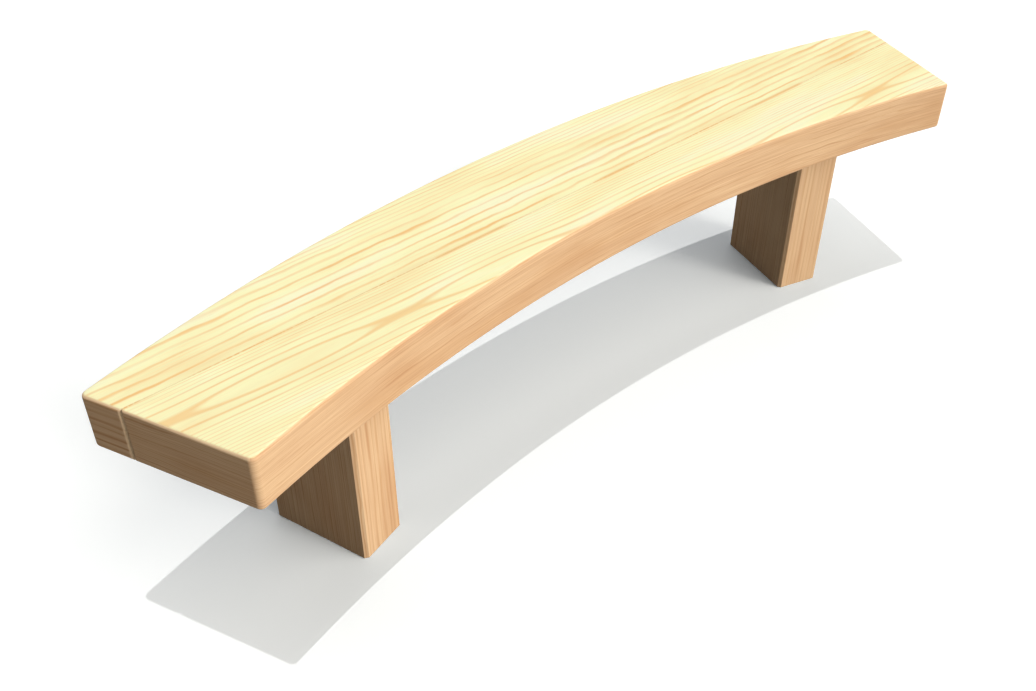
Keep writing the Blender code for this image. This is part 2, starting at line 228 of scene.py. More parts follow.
class BenchStudioSettings(bpy.types.PropertyGroup):
    """The camera, the lamps, the soft light and the floor"""

    camera_place: place_property("Camera Place", "Where the camera stands", (-1.2991, -1.2484, 1.5082))
    camera_aim: place_property("Camera Aim", "What the camera looks at", (-0.3893, -0.2295, 0.4144))
    lens: FloatProperty(name="Lens", description="Focal length", default=39.3, min=1, unit="CAMERA")
    key_level: level_property("Key Level", "What the lamp overhead gives a surface that faces it", 0.262)
    key_angle: angle_property("Key Angle", "Apparent size of the lamp overhead", 0.4)
    fill_level: level_property("Fill Level", "What the lamp in front gives a surface that faces it", 0.50)
    fill_angle: angle_property("Fill Angle", "Apparent size of the lamp in front", 60.0)
    fill_turn: angle_property("Fill Turn", "How far right of the front it stands", 19.7)
    fill_rise: angle_property("Fill Rise", "How high it stands", 46.0)
    fill_tint: colour_property("Fill Tint", "Colour of both lamps in front", (1.0, 0.985, 0.945))
    low_level: level_property("Low Level", "What the lower lamp in front gives a surface that faces it", 0.71)
    low_angle: angle_property("Low Angle", "Apparent size of the lower lamp in front", 20.0)
    low_rise: angle_property("Low Rise", "How high it stands", 10.0)
    back_level: level_property("Back Level", "What the lamp behind gives a surface that faces it", 0.33)
    back_angle: angle_property("Back Angle", "Apparent size of the lamp behind", 90.0)
    back_turn: angle_property("Back Turn", "How far right of the front it stands", 160.0)
    back_rise: angle_property("Back Rise", "How high it stands", 50.0)
    sky_level: level_property("Sky Level", "Soft light from all round", 0.05)
    sky_tint: colour_property("Sky Tint", "Colour of soft light and the lamp behind", (0.93, 0.965, 1.0))
    under_level: level_property("Under Level", "More soft light from below, for the feet", 0.4)
    floor_size: length_property("Floor Size", "Radius of the floor", 30.0)
    floor_tint: colour_property("Floor Tint", "Colour of the floor", (0.985, 0.99, 0.98))
    floor_seen: level_property("Floor Seen", "How much light it shows to the camera", 1.14)
    floor_bounce: level_property("Floor Bounce", "How much light it throws back", 0.232)


SETTINGS = {
    "bench_seat": BenchSeatSettings,
    "bench_leg": BenchLegSettings,
    "bench_fixing": BenchFixingSettings,
    "bench_timber": BenchTimberSettings,
    "bench_metal": BenchMetalSettings,
    "bench_studio": BenchStudioSettings,
}


# Outlines


def mean_place(node):
    """The middle of a frame node's box."""
    low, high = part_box(node)
    return (low + high) / 2


def arc_centre(seat):
    """The seat's centre of curvature, which puts the seam over the middle of both legs."""
    leg_x = mean_place("leg_right").x
    outer_at_leg = math.sqrt(seat.outer_radius**2 - leg_x**2)
    inner_at_leg = math.sqrt((seat.outer_radius - seat.depth) ** 2 - leg_x**2)
    return Vector((0, -(outer_at_leg + inner_at_leg) / 2))


def arc_point(seat, radius, angle):
    """A point of an arc about the centre of curvature, at an angle from the bench's middle."""
    return arc_centre(seat) + Vector((math.sin(angle), math.cos(angle))) * radius


def end_corner(seat, radius):
    """Where the right-hand end cut crosses the arc of a radius."""
    outermost = arc_point(seat, seat.outer_radius, math.asin(seat.length / 2 / seat.outer_radius))
    along_cut = Vector((math.sin(seat.end_cut), math.cos(seat.end_cut)))
    spoke = outermost - arc_centre(seat)
    ahead = spoke.dot(along_cut)
    return outermost - along_cut * (ahead - math.sqrt(ahead**2 - spoke.length_squared + radius**2))


def rounded_corner(before, corner, after, radius, steps):
    """The points of the fillet that takes the place of one corner of an outline."""
    back = (before - corner).normalized()
    ahead = (after - corner).normalized()
    half_angle = back.angle(ahead) / 2
    reach = radius / math.tan(half_angle)
    centre = corner + (back + ahead).normalized() * (radius / math.sin(half_angle))
    first = (corner + back * reach - centre).normalized()
    last = (corner + ahead * reach - centre).normalized()
    return [centre + first.slerp(last, step / steps) * radius for step in range(steps + 1)]


def plank_outline(seat, radius, seam_y):
    """A plank seen from above: a straight seam edge, two slanting ends and one curved edge."""
    centre = arc_centre(seat)
    corner = end_corner(seat, radius)
    outermost = end_corner(seat, seat.outer_radius)
    seam = Vector((outermost.x - (outermost.y - seam_y) * math.tan(seat.end_cut), seam_y))
    widest = math.atan2(corner.x, corner.y - centre.y)
    angles = [widest * (1 - step / ARC_STEPS) for step in range(1, ARC_STEPS + 1)]
    arc = [arc_point(seat, radius, angle) for angle in angles]
    fillet = rounded_corner(seam, corner, arc[0], seat.corner_round, CORNER_STEPS)
    past_fillet = [point for point in arc if point.x < fillet[-1].x - SAME_PLACE]
    right_half = [seam, *fillet, *past_fillet]
    return right_half + [Vector((-point.x, point.y)) for point in reversed(right_half[:-1])]


def leg_outline(leg):
    """A leg seen from above: a rectangle with chamfered corners."""
    signs = ((-1, -1), (1, -1), (1, 1), (-1, 1))
    corners = [Vector((x * leg.thickness / 2, y * leg.depth / 2)) for x, y in signs]
    outline = []
    for place, corner in enumerate(corners):
        after = corners[(place + 1) % len(corners)]
        outline += rounded_corner(corners[place - 1], corner, after, leg.edge_chamfer, 1)
    return outline


# Shaping


def mesh_of(name, shape):
    """A finished mesh, facing outwards, smooth round its curves and sharp at its arrises."""
    bmesh.ops.recalc_face_normals(shape, faces=shape.faces)
    mesh = bpy.data.meshes.new(name)
    shape.to_mesh(mesh)
    shape.free()
    mesh.shade_smooth()
    mesh.set_sharp_from_angle(angle=SMOOTH_ANGLE)
    return mesh


def extruded(outline, bottom, top):
    """An outline drawn upwards from one height to another."""
    shape = bmesh.new()
    base = shape.faces.new([shape.verts.new((point.x, point.y, bottom)) for point in outline])
    grown = bmesh.ops.extrude_face_region(shape, geom=[base])
    risen = [item for item in grown["geom"] if isinstance(item, bmesh.types.BMVert)]
    bmesh.ops.translate(shape, verts=risen, vec=(0, 0, top - bottom))
    return shape


def bevelled(shape, edges, width, steps):
    """Round some edges of a shape, or chamfer them in one step."""
    bmesh.ops.bevel(shape, geom=edges, offset=width, affect="EDGES", segments=steps, profile=0.5)


def turned(name, profile, steps=TURN_STEPS, grooves=0, groove_depth=0.0):
    """A body turned about Z from a closed loop of radius and height, with grooves along it if asked."""
    widest = max(radius for radius, height in profile)
    shape = bmesh.new()
    rings = []
    for radius, height in profile:
        turns = steps if radius > 0 else 1
        ring = []
        for turn in range(turns):
            angle = 2 * math.pi * turn / steps
            cut = groove_depth * (1 + math.cos(grooves * angle)) / 2 if radius == widest else 0
            reach = radius - cut
            ring.append(shape.verts.new((reach * math.cos(angle), reach * math.sin(angle), height)))
        rings.append(ring)
    for lower, upper in zip(rings, rings[1:] + rings[:1]):
        for turn in range(steps):
            around = [lower[turn % len(lower)], lower[(turn + 1) % len(lower)]]
            around += [upper[(turn + 1) % len(upper)], upper[turn % len(upper)]]
            distinct = list(dict.fromkeys(around))
            if len(distinct) > 2:
                shape.faces.new(distinct)
    return mesh_of(name, shape)


def solid_profile(*corners):
    """A profile through corners of radius and height, closed on the axis at both ends."""
    return [(0, corners[0][1]), *corners, (0, corners[-1][1])]


def chamfered_profile(radius, end_radius, slope, bottom, top):
    """A solid profile that narrows to its ends, each over the height of a slope."""
    lower = ((end_radius, bottom), (radius, bottom + slope))
    return solid_profile(*lower, (radius, top - slope), (end_radius, top))


def thread_height(share):
    """How far a thread stands above its root, from 0 to 1, at a share of its pitch."""
    root_start, root_end, crest_start, crest_end = THREAD_SHARES
    if share < root_end:
        return 0
    if share < crest_start:
        return (share - root_end) / (crest_start - root_end)
    if share < crest_end:
        return 1
    return (1 - share) / (1 - crest_end)


def threaded(name, radius, depth, pitch, bottom, top, chamfer=0.0):
    """A screw: one helical skin from end to end, chamfered and closed at both."""
    shape = bmesh.new()
    rows = len(THREAD_SHARES) * (math.ceil((top - bottom) / pitch) + 2)
    columns = []
    for column in range(THREAD_STEPS):
        turn = column / THREAD_STEPS
        line = []
        for row in range(rows):
            count, part = divmod(row, len(THREAD_SHARES))
            height = bottom + (count - 1 + THREAD_SHARES[part] + turn) * pitch
            height = min(max(height, bottom), top)
            stands = thread_height(((height - bottom) / pitch - turn) % 1)
            cone = radius - chamfer + min(height - bottom, top - height)
            reach = min(radius - depth * (1 - stands), cone)
            angle = 2 * math.pi * turn
            line.append(shape.verts.new((reach * math.cos(angle), reach * math.sin(angle), height)))
        columns.append(line)
    columns.append(columns[0][len(THREAD_SHARES):])
    for left, right in zip(columns, columns[1:]):
        for row in range(len(right) - 1):
            shape.faces.new((left[row], right[row], right[row + 1], left[row + 1]))
    bmesh.ops.remove_doubles(shape, verts=shape.verts, dist=SAME_PLACE)
    rims = [edge for edge in shape.edges if edge.is_boundary]
    bmesh.ops.holes_fill(shape, edges=rims, sides=0)
    return mesh_of(name, shape)


def stand(name, held, place=(0, 0, 0), turn=(0, 0, 0)):
    """An object that holds a mesh, a lamp or a camera at a place."""
    made = bpy.data.objects.new(name, held)
    bpy.context.scene.collection.objects.link(made)
    made.location = place
    made.rotation_euler = turn
    return made


def carved(mesh, tools, place=(0, 0, 0), turn=(0, 0, 0)):
    """A mesh after exact Booleans. Each tool is an operation and a mesh, with its place and turn if moved."""
    body = stand("carving", mesh, place, turn)
    helpers = [body]
    for operation, tool, *stance in tools:
        helper = stand("carving_tool", tool, *stance)
        helpers.append(helper)
        cut = body.modifiers.new("cut", "BOOLEAN")
        cut.operation = operation
        cut.solver = "EXACT"
        cut.object = helper
    bpy.context.view_layer.update()
    whole = body.evaluated_get(bpy.context.evaluated_depsgraph_get())
    result = bpy.data.meshes.new_from_object(whole)
    for helper in helpers:
        bpy.data.objects.remove(helper, do_unlink=True)
    if not result.polygons:
        raise RuntimeError(f"carving left nothing of {mesh.name}")
    result.name = mesh.name
    result.shade_smooth()
    result.set_sharp_from_angle(angle=SMOOTH_ANGLE)
    return result


def finish_piece(piece, node, material):
    """Give a piece its material and even shading, put it under the frame's body and hide the frame node that
    it stands for.
    """
    if not piece.data.materials:
        piece.data.materials.append(material)
    evened = piece.modifiers.new("even_shading", "WEIGHTED_NORMAL")
    evened.keep_sharp = True
    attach(piece, BODY)
    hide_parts(node)
    return piece


# Shader wiring


class Signal:
    """What a socket gives out. Sums with it add the nodes that work them out."""

    def __init__(self, wiring, socket):
        self.wiring = wiring
        self.socket = socket

    def __add__(self, other):
        return self.wiring.maths("ADD", self, other)

    def __sub__(self, other):
        return self.wiring.maths("SUBTRACT", self, other)

    def __rsub__(self, other):
        return self.wiring.maths("SUBTRACT", other, self)

    def __mul__(self, other):
        return self.wiring.maths("MULTIPLY", self, other)

    def __truediv__(self, other):
        return self.wiring.maths("DIVIDE", self, other)

    def __abs__(self):
        return self.wiring.maths("ABSOLUTE", self)


class Wiring:
    """Adds nodes to one node tree and joins them up. A value is a number, a vector, a colour or a signal."""

    def __init__(self, tree):
        self.tree = tree

    def feed(self, socket, value):
        """Join a signal to a socket, or set it to a plain value."""
        if isinstance(value, Signal):
            self.tree.links.new(value.socket, socket)
        else:
            socket.default_value = value

    def node(self, kind, inputs=(), **settings):
        """A new node, with its settings and what feeds it."""
        made = self.tree.nodes.new(kind)
        for name, value in settings.items():
            setattr(made, name, value)
        for socket, value in dict(inputs).items():
            self.feed(made.inputs[socket], value)
        return made

    def signals(self, kind, inputs=(), **settings):
        """What a new node gives out, by name."""
        return {item.name: Signal(self, item) for item in self.node(kind, inputs, **settings).outputs}

    def maths(self, operation, *values):
        """A sum of numbers."""
        return self.signals("ShaderNodeMath", enumerate(values), operation=operation)["Value"]

    def vector(self, operation, *values):
        """A sum of vectors."""
        made = self.signals("ShaderNodeVectorMath", enumerate(values), operation=operation)
        return made["Value" if operation == "LENGTH" else "Vector"]

    def scaled(self, vector, factor):
        """A vector made longer or shorter."""
        made = self.signals("ShaderNodeVectorMath", {"Vector": vector, "Scale": factor}, operation="SCALE")
        return made["Vector"]

    def split(self, vector):
        """A vector's three parts."""
        made = self.signals("ShaderNodeSeparateXYZ", {"Vector": vector})
        return [made[axis] for axis in "XYZ"]

    def joined(self, x, y, z):
        """A vector made of three parts."""
        return self.signals("ShaderNodeCombineXYZ", {"X": x, "Y": y, "Z": z})["Vector"]

    def shifted(self, place, seed):
        """A place moved along the grain, so that no two timbers are alike."""
        return self.vector("ADD", place, self.joined(seed, 0, 0))

    def blend(self, share, first, second, how="MIX"):
        """Two colours mixed by a share."""
        made = self.node("ShaderNodeMix", data_type="RGBA", blend_type=how)
        sockets = {item.identifier: item for item in [*made.inputs, *made.outputs]}
        for name, value in (("Factor_Float", share), ("A_Color", first), ("B_Color", second)):
            self.feed(sockets[name], (*value, 1.0) if isinstance(value, tuple) else value)
        return Signal(self, sockets["Result_Color"])

    def between(self, share, first, second):
        """A number part of the way from one to the other."""
        limits = {"Value": share, "To Min": first, "To Max": second}
        return self.signals("ShaderNodeMapRange", limits)["Result"]

    def ramp(self, value, start, end, low=0.0, high=1.0, smooth=True):
        """A value carried from one range to another, and held at its ends."""
        limits = {"Value": value, "From Min": start, "From Max": end, "To Min": low, "To Max": high}
        shape = "SMOOTHSTEP" if smooth else "LINEAR"
        return self.signals("ShaderNodeMapRange", limits, interpolation_type=shape)["Result"]

    def noise(self, place, scale, detail):
        """Cloudy noise, with a scale for each axis of the place."""
        inputs = {"Vector": self.vector("MULTIPLY", place, scale), "Scale": 1.0, "Detail": detail}
        return self.signals("ShaderNodeTexNoise", inputs)["Fac"]

    def noise_along(self, distance, scale, detail=1.0):
        """Noise that changes with one distance only."""
        inputs = {"W": distance, "Scale": scale, "Detail": detail}
        return self.signals("ShaderNodeTexNoise", inputs, noise_dimensions="1D")["Fac"]

    def surface(self, shader, colour, roughness, height, strength, depth):
        """Feed a shader its colour, its roughness and the relief of a height."""
        relief = {"Strength": strength, "Distance": depth, "Height": height}
        self.feed(shader.inputs["Base Color"], colour)
        self.feed(shader.inputs["Roughness"], roughness)
        self.feed(shader.inputs["Normal"], self.signals("ShaderNodeBump", relief)["Normal"])


def group_of(name, takes, gives):
    """A new node group: its wiring, the signals it is given and the sockets that it fills.

    Takes and gives list the names of its sockets under their kinds.
    """
    tree = bpy.data.node_groups.new(name, "ShaderNodeTree")
    for direction, sockets in (("INPUT", takes), ("OUTPUT", gives)):
        for kind, names in sockets.items():
            for socket in names:
                tree.interface.new_socket(socket, in_out=direction, socket_type="NodeSocket" + kind)
    wiring = Wiring(tree)
    given = wiring.signals("NodeGroupInput")
    return wiring, given, wiring.node("NodeGroupOutput").inputs


def group_signals(wiring, make, inputs):
    """What a node group gives out where it is placed. Its function makes it the first time."""
    group = bpy.data.node_groups.get(make.__name__) or make()
    made = wiring.node("ShaderNodeGroup", node_tree=group)
    for socket, value in inputs.items():
        wiring.feed(made.inputs[socket], value)
    return {item.name: Signal(wiring, item) for item in made.outputs}


def blank_material(name):
    """A new material, its wiring and its Principled shader."""
    made = bpy.data.materials.new(name)
    made.use_nodes = True
    return made, Wiring(made.node_tree), made.node_tree.nodes["Principled BSDF"]


def shared_material(make):
    """The material that a function makes, made the first time that it is asked for."""
    return bpy.data.materials.get(make.__name__) or make()


def socket_name(word):
    """The name of the socket that a plain name stands for."""
    return word.replace("_", " ").title()


# Timber


def growth_rings():
    """Growth rings about a pith line, which leans and waves. The grain runs along the place's X."""
    measures = ("Wave Length", "Spacing", "Slow From", "Slow Spacing", "Slow Strength", "Ripple", "Uneven")
    takes = {
        "Vector": ("Place", "Pith", "Lean", "Wave", "Ripple Scale"),
        "Float": (*measures, "Crest", "Widen", "Seed"),
    }
    wiring, given, out = group_of("growth_rings", takes, {"Float": ("Late Wood",)})
    along = wiring.split(given["Place"])[0]
    swing = wiring.maths("SINE", along / given["Wave Length"] * (2 * math.pi))
    pith = wiring.vector("ADD", given["Pith"], wiring.scaled(given["Lean"], along))
    pith = wiring.vector("ADD", pith, wiring.scaled(given["Wave"], swing))
    spoke = wiring.vector("SUBTRACT", given["Place"], pith)
    radius = wiring.vector("LENGTH", wiring.vector("MULTIPLY", spoke, (0, 1, 1)))
    slow = wiring.maths("MAXIMUM", radius - given["Slow From"], 0.0)
    count = radius / given["Spacing"] + (slow / given["Slow Spacing"] - slow / given["Spacing"])
    shifted = wiring.shifted(given["Place"], given["Seed"])
    ripple = wiring.noise(shifted, given["Ripple Scale"], 4.0)
    uneven = wiring.noise_along(count + given["Seed"], 0.45)
    count = count + (ripple - 0.5) * given["Ripple"] + (uneven - 0.5) * given["Uneven"]
    share = wiring.maths("FRACT", count)
    year = wiring.maths("FLOOR", count)
    patch = wiring.noise(wiring.joined(along, year, given["Seed"]), (6.0, 3.7, 1.0), 2.0)
    patch = wiring.ramp(patch, 0.30, 0.68, 0.42, 1.0)
    nearby = wiring.ramp(given["Slow From"] - radius, 0.014, 0.025)
    patch = wiring.maths("MAXIMUM", patch, nearby * given["Crest"])
    wide = wiring.ramp(wiring.noise(shifted, WIDE_PATCHES, 2.0), 0.42, 0.66) * given["Widen"]
    begins, full, fades, ends = LATE_WOOD_SHARES
    rise = wiring.ramp(share, wiring.between(wide, begins, WIDE_RING_BEGINS), full)
    fall = wiring.ramp(share, fades, ends, 1.0, 0.0)
    chance = wiring.signals("ShaderNodeTexWhiteNoise", {"W": year}, noise_dimensions="1D")["Value"]
    strength = wiring.ramp(chance, 0, 1, 0.6, 1.0, smooth=False)
    weight = wiring.between(nearby, given["Slow Strength"], 1.0)
    wiring.feed(out["Late Wood"], rise * fall * patch * strength * weight)
    return wiring.tree


def wood_fibre():
    """Fine streaks and short dark flecks along the grain, which runs along the place's X."""
    takes = {"Vector": ("Place",), "Float": ("Seed",)}
    wiring, given, out = group_of("wood_fibre", takes, {"Float": ("Streak", "Fleck")})
    shifted = wiring.shifted(given["Place"], given["Seed"])
    fine = wiring.noise(shifted, FINE_STREAKS, 3.0)
    broad = wiring.noise(shifted, BROAD_STREAKS, 2.0)
    dash = wiring.noise(shifted, DARK_FLECKS, 1.0)
    wiring.feed(out["Streak"], fine * 0.4 + broad * 0.6)
    wiring.feed(out["Fleck"], wiring.ramp(dash, 0.66, 0.78))
    return wiring.tree


def planed_softwood():
    """Planed and oiled softwood: colour, roughness and relief. What faces up takes paler colours, as painted
    light.
    """
    takes = {
        "Vector": ("Place",),
        "Float": ("Late Wood", "Bleach", "End", "Arris", "Seed", "Roughness"),
        "Color": ("Early", "Late", "Bleached Early", "Bleached Late", "Arris Colour"),
    }
    gives = {"Color": ("Colour",), "Float": ("Roughness", "Height")}
    wiring, given, out = group_of("planed_softwood", takes, gives)
    late, painted_light, end = given["Late Wood"], given["Bleach"], given["End"]
    grain = group_signals(wiring, wood_fibre, {name: given[name] for name in ("Place", "Seed")})
    streak, fleck = grain["Streak"], grain["Fleck"]
    cloud = wiring.noise(wiring.shifted(given["Place"], given["Seed"]), HAZE, 3.0)
    haze = wiring.ramp(cloud, 0.42, 0.78) * wiring.ramp(painted_light, 0, 1, 0.55, 0.36)
    haze = haze + wiring.ramp(streak, 0.48, 0.72) * wiring.ramp(painted_light, 0, 1, 0.0, 0.30)
    ringed = late + haze * (1.0 - late)
    shaded = wiring.blend(ringed, given["Early"], given["Late"])
    # Painted highlight: the rounded edges beside the seam and over each end take a paler warm colour.
    shaded = wiring.blend(given["Arris"] * 0.8, shaded, given["Arris Colour"])
    # Painted light: the paler colours that faces turned up take, as if lit from above.
    lit = wiring.blend(ringed, given["Bleached Early"], given["Bleached Late"])
    colour = wiring.blend(painted_light, shaded, lit)
    darkest = wiring.ramp(painted_light, 0, 1, 0.83, 0.95, smooth=False)
    tone = wiring.between(wiring.ramp(streak, 0.35, 0.64, smooth=False), darkest, 1.03)
    tone = tone * wiring.between(late * end, 1.0, 0.86)
    pale = wiring.ramp(cloud, 0.33, 0.50, 1.0, 0.0) * painted_light
    red = wiring.maths("POWER", tone, 0.65)
    blue = wiring.maths("POWER", tone, 1.1) * wiring.between(pale, 1.0, 1.12)
    colour = wiring.blend(1.0, colour, wiring.joined(red, tone, blue), "MULTIPLY")
    flecked = fleck * wiring.ramp(painted_light, 0, 1, 0.30, 0.12)
    wiring.feed(out["Colour"], wiring.blend(flecked, colour, given["Late"]))
    matt = given["Roughness"] + wiring.ramp(streak, 0.3, 0.7, -0.06, 0.08)
    wiring.feed(out["Roughness"], matt - late * 0.08 + end * 0.12)
    wiring.feed(out["Height"], late * 0.6 + streak * 0.5 - fleck * 0.35)
    return wiring.tree


def rings_about(pith, spacing, **others):
    """Inputs for the growth rings about one pith line, with plain values for those not given."""
    plain = {"lean": (0, 0, 0), "wave": (0, 0, 0), "wave_length": 1.0, "ripple": 0.4, "uneven": 0.0}
    plain.update({"ripple_scale": (6.5, 22, 22), "slow_strength": 1.0, "crest": 0.0, "widen": 0.6})
    plain.update({"pith": pith, "spacing": spacing, "slow_from": 10.0, "slow_spacing": spacing})
    plain.update(others)
    return {socket_name(name): value for name, value in plain.items()}


def resin_at_seam(wiring, along, across):
    """A mask of a dark line painted along the seam as shade in the gap between the planks, and of the resin
    that has spread from it in places.
    """
    from_seam = abs(across)
    # Painted shade: a thin dark line where the gap between the planks lies.
    line = wiring.ramp(wiring.noise_along(along, 5.0, 2.0), 0.38, 0.62, 0.25, 1.0)
    line = line * wiring.ramp(wiring.noise_along(along, 150.0), 0.35, 0.5, 0.55, 1.0)
    line = line * wiring.ramp(from_seam, *SEAM_GAP_SHADE, 1.0, 0.0)
    resin = wiring.ramp(wiring.noise_along(along + 7.3, 3.5, 2.0), 0.48, 0.62)
    resin = resin * wiring.ramp(from_seam, *SEAM_RESIN, 0.8, 0.0)
    return wiring.maths("MAXIMUM", line, resin)


def worn_arris(wiring, across, level, lean_to_end, up):
    """A mask of painted highlight on the outer plank's rounded edge beside the seam and on the rounded edge
    over each end.
    """
    beside = wiring.ramp(across, 0.0, 0.001) * wiring.ramp(across, *SEAM_HIGHLIGHT, 1.0, 0.0) * (1.0 - level)
    over_end = wiring.ramp(lean_to_end, 0.0, 0.05) * wiring.ramp(up, 0.15, 0.50)
    return wiring.maths("MAXIMUM", beside, over_end)


def timber_material(name, timber, top, side, seed, upright=False):
    """One stick of timber. The first rings show on its top, or on a leg's narrow faces."""
    made, wiring, shader = blank_material(name)
    where = wiring.signals("ShaderNodeTexCoord")
    place, facing = where["Object"], where["Normal"]
    up = wiring.split(wiring.signals("ShaderNodeNewGeometry")["Normal"])[2]
    if upright:
        place, facing = (wiring.joined(*reversed(wiring.split(vector))) for vector in (place, facing))
    endways, sideways = (abs(part) for part in wiring.split(facing)[:2])
    end = wiring.ramp(endways, *END_FACE)
    level = wiring.ramp(sideways if upright else abs(up), *LEVEL_FACE)
    fibres, seam, arris = place, 0.0, 0.0
    if not upright:
        along, across, height = wiring.split(place)
        seam = resin_at_seam(wiring, along, across)
        arris = worn_arris(wiring, across, level, endways - sideways, up)
        cut = wiring.ramp(end, 0.3, 0.7)
        with_grain, over_grain = wiring.between(cut, along, across), wiring.between(cut, across, 0.0)
        place = wiring.joined(with_grain, over_grain, height)
        fibres = wiring.joined(with_grain, over_grain * wiring.between(level, 0.12, 1.0), height)
    late = []
    for rings in (side, top):
        late.append(group_signals(wiring, growth_rings, {"Place": place, "Seed": seed, **rings})["Late Wood"])
    inputs = {"Place": fibres, "Seed": seed, "End": end, "Arris": arris, "Roughness": timber.roughness}
    # Painted light: a share that grows as a face turns up and gives it the paler colours.
    inputs["Bleach"] = wiring.ramp(up, *SUNLIT_FACE)
    inputs["Late Wood"] = wiring.between(level, late[0], wiring.maths("MAXIMUM", late[1], seam))
    for tone in ("early", "late", "bleached_early", "bleached_late"):
        inputs[socket_name(tone)] = (*getattr(timber, tone), 1)
    inputs["Arris Colour"] = (*timber.arris, 1)
    made_of = group_signals(wiring, planed_softwood, inputs)
    ray = wiring.signals("ShaderNodeLightPath")
    colour = wiring.blend(ray["Is Diffuse Ray"], made_of["Colour"], tuple(timber.thrown))
    wiring.surface(shader, colour, made_of["Roughness"], made_of["Height"], strength=0.5, depth=0.0003)
    shader.inputs["Specular IOR Level"].default_value = 0.08
    return made


def beech():
    """Pale hardwood with short dark flecks."""
    made, wiring, shader = blank_material("beech")
    x, y, z = wiring.split(wiring.signals("ShaderNodeTexCoord")["Object"])
    grain = group_signals(wiring, wood_fibre, {"Place": wiring.joined(z, x, y), "Seed": 4.0})
    colour = wiring.blend(grain["Streak"], BEECH_LATE, BEECH_EARLY)
    colour = wiring.blend(grain["Fleck"] * 0.6, colour, BEECH_FLECK)
    matt = wiring.ramp(grain["Streak"], 0.3, 0.7, 0.52, 0.66)
    wiring.surface(shader, colour, matt, grain["Streak"], strength=0.4, depth=0.0002)
    return made


# Metal


def handled_metal():
    """Metal that has been plated or cast and handled: cloudy patches, fine pitting and dust."""
    takes = {"Vector": ("Place",), "Float": ("Upward", "Roughness", "Pitting"), "Color": ("Tint",)}
    gives = {"Color": ("Colour",), "Float": ("Roughness", "Metallic", "Height")}
    wiring, given, out = group_of("handled_metal", takes, gives)
    cloud = wiring.noise(given["Place"], METAL_CLOUDS, 3.0)
    pits = wiring.noise(given["Place"], METAL_PITS, 2.0)
    dark = wiring.blend(1.0, given["Tint"], CLOUDED_METAL, "MULTIPLY")
    colour = wiring.blend(wiring.ramp(cloud, 0.35, 0.65), dark, given["Tint"])
    dust = wiring.ramp(given["Upward"], 0.2, 0.9) * wiring.ramp(cloud, 0.4, 0.7) * 0.5
    wiring.feed(out["Colour"], wiring.blend(dust, colour, SAWDUST))
    rough = given["Roughness"] + wiring.ramp(cloud, 0.3, 0.7, 0.10, -0.08)
    wiring.feed(out["Roughness"], rough + dust * 0.4)
    wiring.feed(out["Metallic"], 1.0 - dust)
    wiring.feed(out["Height"], pits * given["Pitting"])
    return wiring.tree


def metal_material(name, tint, roughness, pitting):
    """A metal with its own tint and surface."""
    made, wiring, shader = blank_material(name)
    inputs = {"Tint": (*tint, 1), "Roughness": roughness, "Pitting": pitting}
    inputs["Place"] = wiring.signals("ShaderNodeTexCoord")["Object"]
    inputs["Upward"] = wiring.split(wiring.signals("ShaderNodeNewGeometry")["Normal"])[2]
    made_of = group_signals(wiring, handled_metal, inputs)
    colour, roughness, height = (made_of[part] for part in ("Colour", "Roughness", "Height"))
    wiring.surface(shader, colour, roughness, height, strength=0.4, depth=0.0001)
    wiring.feed(shader.inputs["Metallic"], made_of["Metallic"])
    return made


def zinc_plate():
    """Bright plating of the rods, the nuts and the washers."""
    return metal_material("zinc_plate", bpy.context.scene.bench_metal.zinc, 0.32, 0.3)


def cast_zinc():
    """Dull alloy of the threaded inserts."""
    return metal_material("cast_zinc", bpy.context.scene.bench_metal.alloy, 0.50, 1.0)


# Holes


def half_width(node):
    """Half the greatest width of an upright round node."""
    low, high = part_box(node)
    return max(high.x - low.x, high.y - low.y) / 2


def seam_dowel_size():
    """The radius of a seam dowel, and how far it reaches into each plank."""
    low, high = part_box(SEAM_DOWELS[0])
    return (high.z - low.z) / 2, (high.y - low.y) / 2


def stepped_hole(node, wide, step, narrow, bottom, top):
    """What cuts a hole that is wide below a step and narrow above it."""
    return upright_hole(node, solid_profile((wide, bottom), (wide, step), (narrow, step), (narrow, top)))


def upright_hole(node, profile):
    """What cuts a turned hole about the axis of an upright node."""
    middle = mean_place(node)
    return ("DIFFERENCE", turned("hole", profile), (middle.x, middle.y, 0))


def dowel_hole(name):
    """What cuts the hole of one leg dowel, in the leg and in the plank."""
    low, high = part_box(name)
    radius = half_width(name) + FIT
    return upright_hole(name, solid_profile((radius, low.z - FIT), (radius, high.z + FIT)))


def seam_dowel_hole(name):
    """What cuts the hole of one seam dowel, in both planks."""
    radius, reach = (size + FIT for size in seam_dowel_size())
    mesh = turned("hole", solid_profile((radius, -reach), (radius, reach)))
    return ("DIFFERENCE", mesh, mean_place(name), ALONG_Y)


def insert_hole(name, fixing):
    """What cuts the hole of one threaded insert in its plank."""
    low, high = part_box(name)
    wide = half_width(name) + FIT
    step = low.z + fixing.insert_flange + FIT
    narrow = wide - fixing.insert_flange_width
    return stepped_hole(name, wide, step, narrow, low.z - OVERRUN, high.z + FIT)


def rod_hole(side, plank, leg):
    """What cuts one rod's hole through a leg, with the recess for its washer and nut."""
    rod, washer = f"rod_{side}_{plank}", f"washer_{side}_{plank}"
    wide = half_width(washer) + leg.socket_clearance
    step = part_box(washer)[1].z + FIT
    narrow = half_width(rod) + leg.rod_clearance
    return stepped_hole(rod, wide, step, narrow, -OVERRUN, SEAT_UNDERSIDE + OVERRUN)


# Pieces


